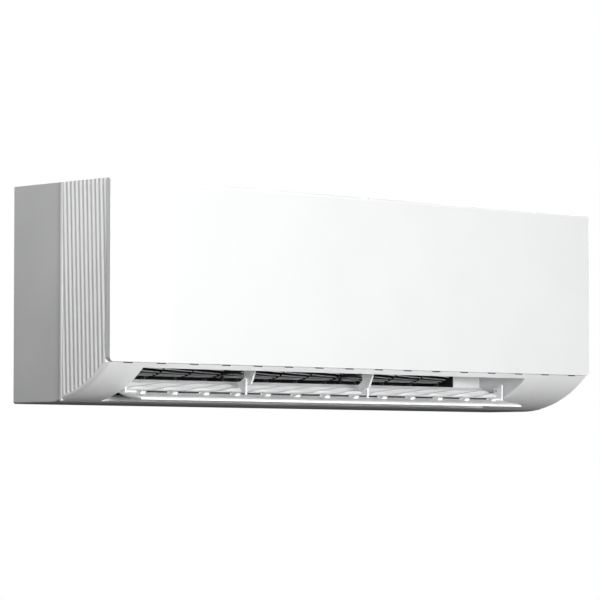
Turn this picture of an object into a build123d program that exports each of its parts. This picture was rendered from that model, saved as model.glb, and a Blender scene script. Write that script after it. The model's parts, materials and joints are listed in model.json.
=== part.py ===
"""Wall-mounted mini split indoor unit, in millimetres.

Sizes are written as distances from the unit's left end, from its front face and from its underside.
The model's own frame has X to the right, Y into the wall and Z up. Its origin lies on the wall face,
halfway along the unit and halfway up it, where the wall plate's screw pattern is centred.
"""

import os
from math import atan2, cos, radians, sin, sqrt

from build123d import *

# ---- Driving dimensions ----

case_width = 960
case_depth = 210
case_height = 300

skin = 2.5  # wall of the moulded parts
fit_gap = 0.3  # between mouldings that clip together
running_gap = 0.05  # radial play of a shaft in its bore

# Front casing and rear chassis
casing_depth = 107  # the front casing reaches back to here
chassis_inset = 2  # the chassis sides stand in from the casing's ends
cheek_radius = 188  # curve under the front, which runs into the flat underside
cheek_run = 133  # depth at which the curve meets the underside
cheek_rounding = 6.8  # rounded edge along both ends of the curve
back_wall_depth = 196
rear_rim = 16
pipe_bay_depth = 173.5
pipe_bay_height = 38

# Front panel and its hinge
panel_skin = 3
panel_bead_radius = 4
panel_bottom = 54
panel_gap = 1
panel_lip_gap = 0.6
panel_corner = 6
lip_notch = (16, 1)  # length and drop of the small notches along the lip under the panel
lip_notch_first = 33.8
lip_notch_pitch = 59.2
lip_notches = 16
hinge_pin_radius = 1.5
hinge_ear_width = 12
hinge_places = (120, 480, 840)  # distances from the left end

# Ribbed side panels
side_thickness = 4
side_base = 2
side_margin = 7.5  # smooth rounded band between the ribs and the cheek curve
rib_pitch = 8.55
rib_groove = 2.0
rib_lean = 1.9  # degrees, the ribs lean back towards the top
rib_strip = 8  # groove and smooth bead along the rear edge
release_depth = (11, 13)
release_height = (69, 90)

# Outlet
outlet_left = 66
outlet_right = 825
outlet_top = 47
lip_depth = 96.5
bay_left = 765  # the open outlet ends here, and a closed bay follows
bay_depth = 104.5
bay_top = 57
divider_bottom = 44.5
ceiling_front_height = 50.8
ceiling_rear = (76, 66)
post_places = (297, 530)
post_thickness = 3
post_depth = (32.3, 58.5)  # where a post meets the ceiling

# Louver
louver_pivot = (62.8, 28.85)
louver_opening = 44  # degrees from closed to the pose it is stored in
louver_front = 11
louver_back = 94
louver_side_gap = 2
louver_skin = 2.2
louver_depth_of_section = 6
louver_pin_radius = 2.5
louver_hub_radius = 5
louver_arm_thickness = 3
louver_cells = 13
louver_boss_width = 9

# Blower
blower_centre = (132, 86)
blower_radius = 46
blower_left = 70
blower_length = 690
blade_count = 35
blade_chord = 11
blade_thickness = 1.3
blower_sections = 8
blower_disc = 2
shaft_radius = 4
scroll_gap = 12

# Air guide floor and the vertical vanes that stand on it
floor_front = (98, 9)
vanes_per_bay = 4
vane_thickness = 1.6
vane_axis_run = 20  # along the floor from its front edge
vane_lever = 13
vane_pin_radius = 1.5
vane_peg_radius = 1
vane_swing = 30

# Heat exchanger
coil_left = 48
coil_fins = 99
coil_thickness = 25
coil_foot = (33.5, 80)
coil_bend = (33.5, 165)
coil_front_top = (95, 266)
coil_rear_top = (118, 266)
coil_rear_foot = (178, 166)
tube_radius = 3.5
tube_pitch = 21
tube_wall = 0.6
fin_pitch = 8
fin_thickness = 1.2
coil_core = 20.5  # thickness left solid behind the fin edges

# Top cover and filters
cover_thickness = 3
filter_places = ((30, 440), (450, 860))
filter_depth = (28, 188)
filter_height = 11.2
filter_border = 6
filter_ledge = 4

# Electrical side
control_box = (866, 946)
motor_left = 800
motor_length = 56
motor_radius = 38
button_radius = 4

# Pipes and drain
liquid_radius = 3.175
gas_radius = 4.76
liquid_nose_radius = 5.56
gas_nose_radius = 7.94
drain_radius = 8
drain_place = 925
drain_height = 22

# Wall plate
plate_thickness = 1.2
plate_width = 700
plate_height = 220
plate_hole_radius = 2.5
outer_pattern = (600, 160)
inner_pattern = (300, 90)


# ---- Placing helpers ----


def yz(depth, height):
    """Point across the unit, from its distance behind the front face and above the underside."""
    return (depth - case_depth, height - case_height / 2)


def xyz(from_left, depth, height):
    return (from_left - case_width / 2, *yz(depth, height))


def slice_plane(from_left):
    """Plane across the unit, facing right."""
    return Plane.YZ.offset(from_left - case_width / 2)


def block(x, y, z, mode=Mode.ADD):
    """Box between two distances each way: from the left end, the front face and the underside."""
    with Locations(xyz(sum(x) / 2, sum(y) / 2, sum(z) / 2)):
        Box(x[1] - x[0], y[1] - y[0], z[1] - z[0], mode=mode)


def prism(outline, start, end, mode=Mode.ADD):
    """Straight-sided outline across the unit, drawn out to the right."""
    with BuildSketch(slice_plane(start)) as face:
        with BuildLine():
            Polyline(*[yz(*point) for point in outline], close=True)
        make_face()
    extrude(face.sketch, amount=end - start, mode=mode)


def rod(centre, radius, start, end, mode=Mode.ADD):
    """Round bar along the unit's length."""
    with BuildSketch(slice_plane(start)) as face:
        with Locations(yz(*centre)):
            Circle(radius)
    extrude(face.sketch, amount=end - start, mode=mode)


def rods(centres, radius, start, end, mode=Mode.ADD):
    """Several round bars of one size along the unit's length."""
    with BuildSketch(slice_plane(start)) as face:
        with Locations(*[yz(*centre) for centre in centres]):
            Circle(radius)
    extrude(face.sketch, amount=end - start, mode=mode)


def write(piece, name):
    piece.part.label = name
    export_step(piece.part, f"parts/{name}.step")


# ---- The curve under the front ----


def cheek_height(depth, inset=0):
    """Height of the cheek curve at a depth, for a skin set in by inset."""
    return cheek_radius - sqrt((cheek_radius - inset) ** 2 - (cheek_run - depth) ** 2)


def cheek_depth(height, inset=0):
    return cheek_run - sqrt((cheek_radius - inset) ** 2 - (cheek_radius - height) ** 2)


def cheek_body(front, back, top, start, end, inset=0, mode=Mode.ADD):
    """Solid above the cheek curve, between two depths and up to a height."""
    stations = [front, (front + back) / 2, back]
    low_front, low_middle, low_back = [yz(depth, cheek_height(depth, inset)) for depth in stations]
    with BuildSketch(slice_plane(start)) as face:
        with BuildLine():
            ThreePointArc(low_front, low_middle, low_back)
            pointed = abs(top - cheek_height(front, inset)) < 0.001  # the curve starts at the top
            front_top = [] if pointed else [yz(front, top)]
            Polyline(low_back, yz(back, top), *front_top, low_front)
        make_face()
    extrude(face.sketch, amount=end - start, mode=mode)


# ---- Blower, scroll and floor line, which the casing's sill continues ----

scroll_radius = blower_radius + scroll_gap
floor_end = (blower_centre[0], blower_centre[1] - scroll_radius)
floor_slope = (floor_end[1] - floor_front[1]) / (floor_end[0] - floor_front[0])


def floor_at(depth):
    """Point on the floor line at a depth."""
    return (depth, floor_front[1] + (depth - floor_front[0]) * floor_slope)


os.makedirs("parts", exist_ok=True)

panel_back = 2 * panel_bead_radius
coil_right = coil_left + (coil_fins - 1) * fin_pitch + fin_thickness
casing_front = panel_back + panel_gap
casing_inner_front = casing_front + skin
body_top = case_height - cover_thickness
lower_lip_top = panel_bottom - panel_lip_gap
wall_inset = skin + fit_gap
side_pocket = side_thickness + fit_gap
bead_front = casing_depth - rib_strip + rib_groove
bead_inset = 0.6
casing_inner_left = side_pocket + skin
casing_inner_right = case_width - casing_inner_left
hinge_height = case_height - panel_bead_radius
hinge_centre = (panel_bead_radius, hinge_height)

# ---- Front casing ----

window_places = ((70, 316), (324, 586), (594, 850))
window_height = (96, 262)
screw_places = (95, 480, 780)
screw_height = 66
screw_radius = 1.75
screw_head_radius = 3.5
screw_head_height = 2
button_place = (905, 120)
ear_half_height = 3

with BuildPart() as front_casing:
    lip_front = cheek_depth(lower_lip_top)
    cheek_body(lip_front, casing_depth, lower_lip_top, 0, case_width)
    fillet(front_casing.edges().filter_by(GeomType.CIRCLE), cheek_rounding)
    block((0, case_width), (casing_front, casing_depth), (lower_lip_top, case_height))
    # notches along the lip, in the gap under the front panel
    notch_height = (lower_lip_top - lip_notch[1], lower_lip_top + skin)
    for index in range(lip_notches):
        notch = lip_notch_first + index * lip_notch_pitch
        notch_x = (notch - lip_notch[0] / 2, notch + lip_notch[0] / 2)
        block(notch_x, (0, casing_front), notch_height, Mode.SUBTRACT)
    # hollow: under the lip, then behind the front wall and open at the top
    inner_top = lower_lip_top - skin
    cheek_body(
        cheek_depth(inner_top, skin),
        casing_depth + skin,
        inner_top,
        casing_inner_left,
        casing_inner_right,
        inset=skin,
        mode=Mode.SUBTRACT,
    )
    block(
        (casing_inner_left, casing_inner_right),
        (casing_inner_front, casing_depth + skin),
        (inner_top - fit_gap, case_height + skin),
        Mode.SUBTRACT,
    )
    # pockets for the ribbed side panels
    for start, end in ((-skin, side_pocket), (case_width - side_pocket, case_width + skin)):
        cheek_body(
            casing_front - skin,
            casing_depth + skin,
            case_height,
            start,
            end,
            inset=side_margin,
            mode=Mode.SUBTRACT,
        )
    # room for the foot of the bead at the rear of each side panel, which runs down to the curve
    bead_room = side_base + fit_gap
    for bead_x in ((-skin, bead_room), (case_width - bead_room, case_width + skin)):
        block(bead_x, (bead_front - fit_gap, casing_depth + skin), (-skin, side_margin + skin), Mode.SUBTRACT)
    # outlet opening, between the strip above it and the lower lip
    block((outlet_left, outlet_right), (-skin, lip_depth), (-skin, outlet_top), Mode.SUBTRACT)
    # sill that carries the duct's floor line forward to the lip
    sill = [
        (lip_depth + fit_gap, cheek_height(lip_depth + fit_gap, 1)),
        floor_front,
        floor_at(bay_depth - fit_gap),
        (bay_depth - fit_gap, cheek_height(bay_depth - fit_gap, 1)),
    ]
    prism(sill, outlet_left, outlet_right)
    for window in window_places:
        block(window, (casing_front - skin, casing_inner_front + skin), window_height, Mode.SUBTRACT)
    # ears that carry the front panel's hinge pins
    for place in hinge_places:
        ear = (place - hinge_ear_width / 2, place + hinge_ear_width / 2)
        ear_height = (hinge_height - ear_half_height, hinge_height + ear_half_height)
        block(ear, (panel_bead_radius, casing_inner_front), ear_height)
        rod(hinge_centre, ear_half_height, *ear)
        rod(hinge_centre, hinge_pin_radius, *ear, mode=Mode.SUBTRACT)
    # holes through the front wall: screws and the auxiliary button
    front_wall = Plane.XZ.offset(case_depth - casing_front)
    with BuildSketch(front_wall) as wall_holes:
        for place in screw_places:
            with Locations((place - case_width / 2, screw_height - case_height / 2)):
                Circle(screw_radius)
        with Locations((button_place[0] - case_width / 2, button_place[1] - case_height / 2)):
            Circle(button_radius + fit_gap)
    extrude(wall_holes.sketch, amount=skin * 2, both=True, mode=Mode.SUBTRACT)
write(front_casing, "front_casing")

with BuildPart() as casing_screws:
    head_plane = Plane.XZ.offset(case_depth - casing_front)
    for place in screw_places:
        centre = (place - case_width / 2, screw_height - case_height / 2)
        with BuildSketch(head_plane):
            with Locations(centre):
                Circle(screw_head_radius)
        extrude(amount=screw_head_height)
        with BuildSketch(head_plane):
            with Locations(centre):
                Circle(screw_radius - running_gap)
        extrude(amount=-(skin + 6))
    fillet(casing_screws.faces().sort_by(Axis.Y)[: len(screw_places)].edges(), 0.8)
write(casing_screws, "casing_screws")

# ---- Ribbed side panels ----


def side_panel(left):
    """Ribbed end panel: a backing sheet with convex ribs that lean, and a plain bead at its rear."""
    front = casing_front
    strip_front = casing_depth - rib_strip
    rise = case_height * 1.1
    proud = (0, side_base) if left else (case_width - side_base, case_width)
    backing = (side_base, side_thickness) if left else (case_width - side_thickness, case_width - side_base)
    rib_root = side_base if left else case_width - side_base
    lean = Plane(
        origin=xyz(rib_root, 0, 0),
        x_dir=(0, cos(radians(rib_lean)), -sin(radians(rib_lean))),
        z_dir=(0, sin(radians(rib_lean)), cos(radians(rib_lean))),
    )
    # the plane's own Y axis points to -X, so a rib's crown stands out by this sign
    crown = side_base if left else -side_base
    rib_width = rib_pitch - rib_groove
    count = int((strip_front - front + rise * sin(radians(rib_lean))) / rib_pitch) + 2
    with BuildPart() as panel:
        with BuildSketch(lean):
            for index in range(count):
                end = strip_front - index * rib_pitch + rib_groove
                start = end - rib_width
                with BuildLine():
                    root = [(start, 0), (end, 0)]
                    ThreePointArc(root[0], ((start + end) / 2, crown), root[1])
                    Line(root[1], root[0])
                make_face()
        extrude(amount=rise)
        cheek_body(
            front,
            strip_front,
            case_height,
            *proud,
            inset=side_margin + fit_gap,
            mode=Mode.INTERSECT,
        )
        # backing sheet
        cheek_body(front, casing_depth, case_height, *backing, inset=side_margin + fit_gap)
        # plain bead along the rear edge, behind a groove
        cheek_body(bead_front, casing_depth, case_height, *proud, inset=bead_inset)
        bead_edges = panel.edges().filter_by(Axis.Z).group_by(Axis.X)[0 if left else -1]
        fillet(bead_edges, side_base * 0.9)
        # slot that a finger or a tool releases the front panel by
        block(proud, release_depth, release_height, Mode.SUBTRACT)
    return panel


side_panel_left = side_panel(left=True)
write(side_panel_left, "side_panel_left")
side_panel_right = side_panel(left=False)
write(side_panel_right, "side_panel_right")

# ---- Front panel ----

with BuildPart() as front_panel:
    plate_top = hinge_height
    block((0, case_width), (0, panel_back), (panel_bottom, plate_top))
    rod(hinge_centre, panel_bead_radius, 0, case_width)
    fillet(
        front_panel.edges().filter_by(Axis.Y).group_by(Axis.Z)[0],
        panel_corner,
    )
    # hollow back, with a return along both ends and the bottom
    block(
        (panel_skin, case_width - panel_skin),
        (panel_skin, panel_back + skin),
        (panel_bottom + panel_skin, plate_top - panel_bead_radius - skin),
        Mode.SUBTRACT,
    )
    # slots that the hinge ears swing in, and the bore for the pins
    for place in hinge_places:
        slot = (place - hinge_ear_width / 2 - 1, place + hinge_ear_width / 2 + 1)
        block(
            slot,
            (0.7, panel_back + skin),
            (hinge_height - panel_bead_radius - 1, case_height + skin),
            Mode.SUBTRACT,
        )
        pin_reach = hinge_ear_width / 2 + 10
        rod(
            hinge_centre,
            hinge_pin_radius + running_gap,
            place - pin_reach,
            place + pin_reach,
            mode=Mode.SUBTRACT,
        )
write(front_panel, "front_panel")

with BuildPart() as panel_hinge_pins:
    for place in hinge_places:
        pin_reach = hinge_ear_width / 2 + 9.5
        rod(hinge_centre, hinge_pin_radius, place - pin_reach, place + pin_reach)
write(panel_hinge_pins, "panel_hinge_pins")

# ---- Rear chassis ----

hook_places = (240, 720)
hook_width = 60
rail_height = 250
rail_thickness = 3
shelf_depth = 201
trough_depth = 164
trough_height = (140, 142)
gas_bay = (188, 24)
liquid_bay = (184, 9.5)
gas_drop = 892
liquid_drop = 906
bay_wall_depth = pipe_bay_depth + skin

with BuildPart() as rear_chassis:
    chassis_left = chassis_inset
    chassis_right = case_width - chassis_inset
    with BuildSketch(slice_plane(chassis_left)):
        with BuildLine():
            curve_start = yz(casing_depth + fit_gap, cheek_height(casing_depth + fit_gap))
            middle = (casing_depth + cheek_run) / 2
            ThreePointArc(curve_start, yz(middle, cheek_height(middle)), yz(cheek_run, 0))
            Polyline(
                yz(cheek_run, 0),
                yz(case_depth, 0),
                yz(case_depth, case_height),
                yz(casing_depth + fit_gap, case_height),
                curve_start,
            )
        make_face()
    extrude(amount=chassis_right - chassis_left)
    # rounded upright edges at the wall, and rounded edges all round the underside
    back_edges = rear_chassis.faces().sort_by(Axis.Y)[-1].edges()
    under_edges = rear_chassis.edges().filter_by(Axis.Y).group_by(Axis.Z)[0]
    under_edges += rear_chassis.edges().filter_by(GeomType.CIRCLE)
    under_edges += back_edges.filter_by(Axis.X).sort_by(Axis.Z)[:1]
    fillet(back_edges.filter_by(Axis.Z) + under_edges, 3)
    # inside, open at the front and the top, with a step over the pipe bay
    cheek_body(
        casing_depth,
        cheek_run,
        case_height + skin,
        chassis_left + skin,
        chassis_right - skin,
        inset=skin,
        mode=Mode.SUBTRACT,
    )
    bay_ceiling = pipe_bay_height + skin
    prism(
        [
            (cheek_run - skin, skin),
            (pipe_bay_depth, skin),
            (pipe_bay_depth, bay_ceiling),
            (back_wall_depth, bay_ceiling),
            (back_wall_depth, case_height + skin),
            (cheek_run - skin, case_height + skin),
        ],
        chassis_left + skin,
        chassis_right - skin,
        Mode.SUBTRACT,
    )
    # the back: pipe bay below, and a shallow recess for the wall plate above it
    recess_width = (rear_rim + chassis_left, chassis_right - rear_rim)
    recess_depth = (back_wall_depth + skin, case_depth + skin)
    block(recess_width, recess_depth, (pipe_bay_height - skin, case_height - rear_rim / 2), Mode.SUBTRACT)
    block(recess_width, (bay_wall_depth, case_depth + skin), (skin, pipe_bay_height), Mode.SUBTRACT)
    # trough under the rear coil
    trough_x = (chassis_left + skin - 1, chassis_right - skin + 1)
    block(trough_x, (trough_depth, back_wall_depth + 1), trough_height)
    lip_z = (trough_height[0], trough_height[1] + 8)
    block(trough_x, (trough_depth, trough_depth + 2), lip_z)
    # ways into the pipe bay for both pipes and the drain
    for place, bay, radius in ((gas_drop, gas_bay, gas_radius), (liquid_drop, liquid_bay, liquid_radius)):
        with BuildSketch(Plane.XY.offset(pipe_bay_height - 1 - case_height / 2)) as way:
            with Locations(xyz(place, bay[0], 0)[:2]):
                Circle(radius + fit_gap)
        extrude(way.sketch, amount=trough_height[1] + 1 - pipe_bay_height + 1, mode=Mode.SUBTRACT)
    with BuildSketch(Plane.XZ.offset(case_depth - pipe_bay_depth + 1)) as drain_way:
        with Locations((drain_place - case_width / 2, drain_height - case_height / 2)):
            Circle(drain_radius + skin / 2)
    extrude(drain_way.sketch, amount=-(skin + 2), mode=Mode.SUBTRACT)
    # rails that hang on the wall plate's tabs
    for place in hook_places:
        rail = (place - hook_width, place + hook_width)
        tab = (place - hook_width / 2 - 1, place + hook_width / 2 + 1)
        rail_z = (rail_height, rail_height + rail_thickness)
        block(rail, (back_wall_depth + skin - 0.5, case_depth - 3), rail_z)
        slot_y = (shelf_depth - 0.5, shelf_depth + plate_thickness + 0.5)
        block(tab, slot_y, (rail_height - 1, rail_height + rail_thickness + 1), Mode.SUBTRACT)
write(rear_chassis, "rear_chassis")

# ---- Wall plate ----

with BuildPart() as mounting_plate:
    plate_front = case_depth - plate_thickness
    plate_x = ((case_width - plate_width) / 2, (case_width + plate_width) / 2)
    plate_z = ((case_height - plate_height) / 2 + 8, (case_height + plate_height) / 2 + 8)
    block(plate_x, (plate_front, case_depth), plate_z)
    fillet(mounting_plate.edges().filter_by(Axis.Y), 10)
    # tabs under the chassis rails, with a turned-up lip
    for place in hook_places:
        tab = (place - hook_width / 2, place + hook_width / 2)
        block(tab, (shelf_depth, plate_front), (rail_height - plate_thickness, rail_height))
        lip = (rail_height - plate_thickness, rail_height + rail_thickness + 6)
        block(tab, (shelf_depth, shelf_depth + plate_thickness), lip)
    # pressed windows that lighten the plate
    for place in (300, 420, 540, 660):
        block((place - 35, place + 35), (plate_front - 1, case_depth + 1), (225, 240), Mode.SUBTRACT)
    wall_face = Plane.XZ
    with BuildSketch(wall_face) as screw_holes:
        for spacing in (outer_pattern, inner_pattern):
            with GridLocations(*spacing, 2, 2):
                Circle(plate_hole_radius)
    extrude(screw_holes.sketch, amount=plate_thickness * 2, mode=Mode.SUBTRACT)
write(mounting_plate, "mounting_plate")

# ---- Top cover and lift-out filters ----

filter_top = case_height - 0.4
filter_bottom = filter_top - filter_height
ledge_bottom = filter_bottom - 1.5
bar_depth = 4
net_thickness = 0.8

with BuildPart() as top_cover:
    cover_x = (casing_inner_left + fit_gap, casing_inner_right - fit_gap)
    cover_y = (casing_inner_front + fit_gap, back_wall_depth - fit_gap)
    block(cover_x, cover_y, (body_top, case_height))
    for start, end in filter_places:
        pocket_x = (start, end)
        around_x = (start - 2, end + 2)
        around_y = (filter_depth[0] - 2, filter_depth[1] + 2)
        block(around_x, around_y, (ledge_bottom, body_top))
        block(pocket_x, filter_depth, (filter_bottom, case_height + skin), Mode.SUBTRACT)
        open_x = (start + filter_ledge, end - filter_ledge)
        open_y = (filter_depth[0] + filter_ledge, filter_depth[1] - filter_ledge)
        block(open_x, open_y, (ledge_bottom - skin, case_height), Mode.SUBTRACT)
write(top_cover, "top_cover")


def filter_frame(start, end):
    """Frame of one filter: a border, cross bars and a finger hold at its front."""
    outer_x = (start + fit_gap, end - fit_gap)
    outer_y = (filter_depth[0] + fit_gap, filter_depth[1] - fit_gap)
    bars = 6
    rows = 3
    with BuildPart() as frame:
        block(outer_x, outer_y, (filter_bottom, filter_top))
        inner_x = (outer_x[0] + filter_border, outer_x[1] - filter_border)
        inner_y = (outer_y[0] + filter_border, outer_y[1] - filter_border)
        block(inner_x, inner_y, (filter_bottom - skin, filter_top + skin), Mode.SUBTRACT)
        pitch = (inner_x[1] - inner_x[0]) / bars
        for index in range(1, bars):
            bar = inner_x[0] + index * pitch
            block((bar - 1.5, bar + 1.5), inner_y, (filter_top - bar_depth, filter_top))
        row_pitch = (inner_y[1] - inner_y[0]) / rows
        for index in range(1, rows):
            bar = inner_y[0] + index * row_pitch
            block(inner_x, (bar - 1.5, bar + 1.5), (filter_top - bar_depth, filter_top))
    return frame


def filter_net(start, end):
    edge = fit_gap + filter_border
    with BuildPart() as net:
        block(
            (start + edge, end - edge),
            (filter_depth[0] + edge, filter_depth[1] - edge),
            (filter_top - bar_depth - net_thickness, filter_top - bar_depth),
        )
    return net


for side, (start, end) in zip(("left", "right"), filter_places):
    write(filter_frame(start, end), f"filter_frame_{side}")
    write(filter_net(start, end), f"filter_net_{side}")

# ---- Air guide: the floor under the vanes and the scroll behind the blower ----

guide_left = outlet_left - fit_gap - skin
guide_right = bay_left + skin
floor_angle = atan2(floor_end[1] - floor_front[1], floor_end[0] - floor_front[0])
along = (cos(floor_angle), sin(floor_angle))


def floor_point(run, rise):
    """Depth and height of a point that lies along the floor and above it."""
    return (
        floor_front[0] + run * along[0] - rise * along[1],
        floor_front[1] + run * along[1] + rise * along[0],
    )


def floor_plane(from_left, run=0, rise=0):
    """Plane parallel to the guide's floor: X to the right, Y up the slope, Z out of the floor."""
    return Plane(
        origin=xyz(from_left, *floor_point(run, rise)),
        x_dir=(1, 0, 0),
        z_dir=(0, -along[1], along[0]),
    )


def around_blower(angle, radius):
    """Depth and height at an angle about the blower's centre, from level rear, upwards."""
    turn = radians(angle)
    return (blower_centre[0] + radius * cos(turn), blower_centre[1] + radius * sin(turn))


scroll_end_angle = 32
bays = [
    (outlet_left - fit_gap, post_places[0] - post_thickness / 2),
    (post_places[0] + post_thickness / 2, post_places[1] - post_thickness / 2),
    (post_places[1] + post_thickness / 2, bay_left),
]
vane_places = [
    start + (index + 0.5) * (end - start) / vanes_per_bay
    for start, end in bays
    for index in range(vanes_per_bay)
]
crank_place = bay_left + 22
bar_run = vane_axis_run + vane_lever
bar_half = 3.5
bar_rise = 5.9
bar_thickness = 2

with BuildPart() as air_guide:
    outer = scroll_radius + skin
    with BuildSketch(slice_plane(guide_left)):
        with BuildLine():
            bottom = -90
            arc_middle = (bottom + scroll_end_angle) / 2
            Polyline(yz(*floor_at(bay_depth)), yz(*around_blower(bottom, scroll_radius)))
            ThreePointArc(
                yz(*around_blower(bottom, scroll_radius)),
                yz(*around_blower(arc_middle, scroll_radius)),
                yz(*around_blower(scroll_end_angle, scroll_radius)),
            )
            Line(
                yz(*around_blower(scroll_end_angle, scroll_radius)),
                yz(*around_blower(scroll_end_angle, outer)),
            )
            ThreePointArc(
                yz(*around_blower(scroll_end_angle, outer)),
                yz(*around_blower(arc_middle, outer)),
                yz(*around_blower(bottom, outer)),
            )
            Polyline(
                yz(*around_blower(bottom, outer)),
                yz(bay_depth, floor_at(bay_depth)[1] - skin),
                yz(*floor_at(bay_depth)),
            )
        make_face()
    extrude(amount=guide_right - guide_left)
    # upright from the scroll's end to the chassis trough
    upright = around_blower(scroll_end_angle, scroll_radius)
    block(
        (guide_left, guide_right),
        (upright[0] - 0.5, upright[0] + skin),
        (upright[1] - 0.5, trough_height[0] - fit_gap),
    )
    # end walls, round the blower
    for start, wall_front in ((guide_left, floor_front[0]), (bay_left, bay_depth)):
        wall_outline = [
            (wall_front, floor_at(wall_front)[1] - skin),
            (bay_depth + 5, floor_at(bay_depth)[1] - skin),
            (floor_front[0] + 40, floor_front[1]),
            (blower_centre[0] + 33, 24),
            (pipe_bay_depth - 1, pipe_bay_height + skin + 2),
            (blower_centre[0] + scroll_radius, blower_centre[1] - 10),
            (blower_centre[0] + scroll_radius, blower_centre[1] + 30),
            (blower_centre[0], blower_centre[1] + blower_radius + 8),
            (blower_centre[0] - 30, blower_centre[1] + blower_radius),
            (ceiling_rear[0] + 8, ceiling_rear[1] + 6),
            (wall_front, bay_top),
        ]
        prism(wall_outline, start, start + skin)
    # dividers behind the posts: over the louver's swing, clear of the blower and of the link bar
    for place in post_places:
        divider = [
            (post_depth[1] + 3, ceiling_rear[1] - 6),
            (post_depth[1] + 10, divider_bottom),
            (bay_depth, divider_bottom),
            floor_at(bay_depth),
            floor_at(floor_front[0] + 18),
            (blower_centre[0] - 19, blower_centre[1] - blower_radius - 3),
            (blower_centre[0] - 29, blower_centre[1] - 39),
            (blower_centre[0] - 41, blower_centre[1] - 28),
            (ceiling_rear[0] + 6, ceiling_rear[1] - 1),
            (ceiling_rear[0] - 4, ceiling_rear[1] - 2),
        ]
        prism(divider, place - post_thickness / 2, place + post_thickness / 2)
    # socket for the blower's end bearing, on the left wall's outer side
    rod(blower_centre, 15, guide_left - 12, guide_left)
    rod(blower_centre, 12, guide_left - 13, guide_left, mode=Mode.SUBTRACT)
    rod(blower_centre, shaft_radius + 2, guide_left - 1, guide_left + skin + 1, mode=Mode.SUBTRACT)
    rod(blower_centre, 13, bay_left - 1, bay_left + skin + 1, mode=Mode.SUBTRACT)
    # window in the right wall for the link bar
    with BuildSketch(floor_plane(bay_left + skin / 2, bar_run, bar_rise + bar_thickness / 2)) as gap:
        Rectangle(skin * 3, bar_half * 2 + 4)
    extrude(gap.sketch, amount=bar_thickness, both=True, mode=Mode.SUBTRACT)
    # holes for the vanes' pins
    for place in vane_places:
        with BuildSketch(floor_plane(place, vane_axis_run)) as hole:
            Circle(vane_pin_radius + running_gap)
        extrude(hole.sketch, amount=skin * 2, both=True, mode=Mode.SUBTRACT)
write(air_guide, "air_guide")

# ---- Vertical vanes, link bar and crank ----

vane_outline = (
    (8, 0.6),
    (38, 0.6),
    (38, 5.5),
    (29.5, 5.5),
    (27.5, 18),
    (22, 22),
    (19.5, 20),
    (12.5, 8),
    (8, 3),
)


def vane(place):
    """One vane on its pin, with the peg that the link bar moves."""
    with BuildPart() as piece:
        with BuildSketch(slice_plane(place - vane_thickness / 2)):
            with BuildLine():
                Polyline(*[yz(*floor_point(*point)) for point in vane_outline], close=True)
            make_face()
        extrude(amount=vane_thickness)
        # foot round the pin
        with BuildSketch(floor_plane(place, vane_axis_run, 0.6)):
            Circle(vane_pin_radius * 2)
        extrude(amount=1.2)
        with BuildSketch(floor_plane(place, vane_axis_run, -skin)):
            Circle(vane_pin_radius)
        extrude(amount=skin + 1)
        with BuildSketch(floor_plane(place, bar_run, 4.5)):
            Circle(vane_peg_radius)
        extrude(amount=bar_rise + bar_thickness - 4.5 + 0.7)
    return piece


for number, place in enumerate(vane_places, start=1):
    write(vane(place), f"vane_{number:02d}")

with BuildPart() as vane_link_bar:
    bar_left = vane_places[0] - 6
    bar_right = crank_place + 6
    with BuildSketch(floor_plane((bar_left + bar_right) / 2, bar_run, bar_rise)):
        Rectangle(bar_right - bar_left, bar_half * 2)
        middle = (bar_left + bar_right) / 2
        sweep_back = vane_lever * (1 - cos(radians(vane_swing)))
        slack = 0.5
        with Locations(
            [
                (place - middle, -sweep_back / 2 if place != crank_place else sweep_back / 2)
                for place in vane_places + [crank_place]
            ]
        ):
            Rectangle(
                2 * (vane_peg_radius + slack),
                sweep_back + 2 * (vane_peg_radius + slack / 2),
                mode=Mode.SUBTRACT,
            )
    extrude(amount=bar_thickness)
write(vane_link_bar, "vane_link_bar")

crank_run = bar_run + vane_lever

with BuildPart() as vane_crank:
    with BuildSketch(floor_plane(crank_place, crank_run, 1)):
        Circle(5)
        with Locations((0, -vane_lever)):
            Circle(3)
        with Locations((0, -vane_lever / 2)):
            Rectangle(5, vane_lever)
    extrude(amount=3)
    with BuildSketch(floor_plane(crank_place, crank_run - vane_lever, 3)):
        Circle(vane_peg_radius)
    extrude(amount=bar_rise + bar_thickness - 3 + 0.7)
    with BuildSketch(floor_plane(crank_place, crank_run, -9)):
        Circle(2)
    extrude(amount=11)
write(vane_crank, "vane_crank")

with BuildPart() as vane_motor:
    with BuildSketch(floor_plane(crank_place, crank_run, -12)):
        Circle(10)
    extrude(amount=12)
    # ear that is screwed to the guide's end wall
    ear_reach = crank_place - bay_left - skin - fit_gap
    with BuildSketch(floor_plane(crank_place - ear_reach / 2, crank_run, -1.2)):
        Rectangle(ear_reach, 14)
    extrude(amount=1.2)
    with BuildSketch(floor_plane(crank_place, crank_run, -10)) as motor_bore:
        Circle(2 + running_gap)
    extrude(motor_bore.sketch, amount=12, mode=Mode.SUBTRACT)
write(vane_motor, "vane_motor")

# ---- Outlet frame: ceiling, end walls, the closed bay and the posts ----

frame_front = casing_inner_front + fit_gap
wall_left = outlet_left - fit_gap - skin
wall_right = outlet_right + fit_gap
ceiling_slope = (ceiling_rear[1] - ceiling_front_height) / (ceiling_rear[0] - frame_front)


def ceiling_height(depth):
    return ceiling_front_height + (depth - frame_front) * ceiling_slope


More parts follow.
